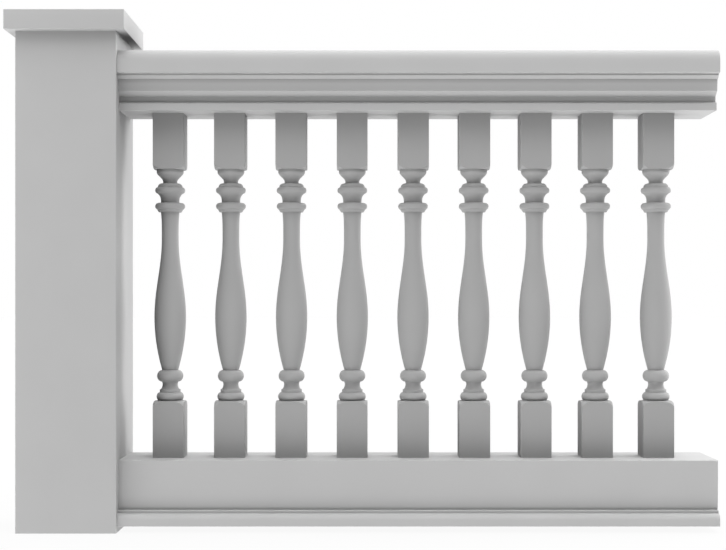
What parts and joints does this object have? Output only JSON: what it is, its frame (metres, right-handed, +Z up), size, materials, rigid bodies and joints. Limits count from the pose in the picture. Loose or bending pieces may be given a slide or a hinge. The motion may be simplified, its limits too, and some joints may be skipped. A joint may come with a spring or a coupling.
{
  "type": "balustrade section with newel post",
  "caption": "Moulded polyurethane balustrade section: square newel post with slab cap, moulded top and bottom rails on reinforcing pipes, and turned balusters with square ends.",
  "frame": {"origin": "centre of the newel post's foot, on the plane of its open lower end", "axes": "+X along the rails, away from the post; +Z up; -Y towards the front"},
  "size_m": [1.4383, 0.2414, 1.051],
  "materials": {
    "moulded_foam": "smooth matt primed skin of high-density polyurethane foam, plain light grey",
    "galvanised_pipe": "dull galvanised steel with a sawn end"
  },
  "bodies": {
    "root": {"newel_post": "moulded_foam", "post_cap": "moulded_foam", "top_rail": "moulded_foam", "bottom_rail": "moulded_foam", "top_rail_pipe": "galvanised_pipe", "bottom_rail_pipe": "galvanised_pipe", "baluster_1": "moulded_foam", "baluster_2": "moulded_foam", "baluster_3": "moulded_foam", "baluster_4": "moulded_foam", "baluster_5": "moulded_foam", "baluster_6": "moulded_foam", "baluster_7": "moulded_foam", "baluster_8": "moulded_foam", "baluster_9": "moulded_foam"}
  },
  "joints": []
}
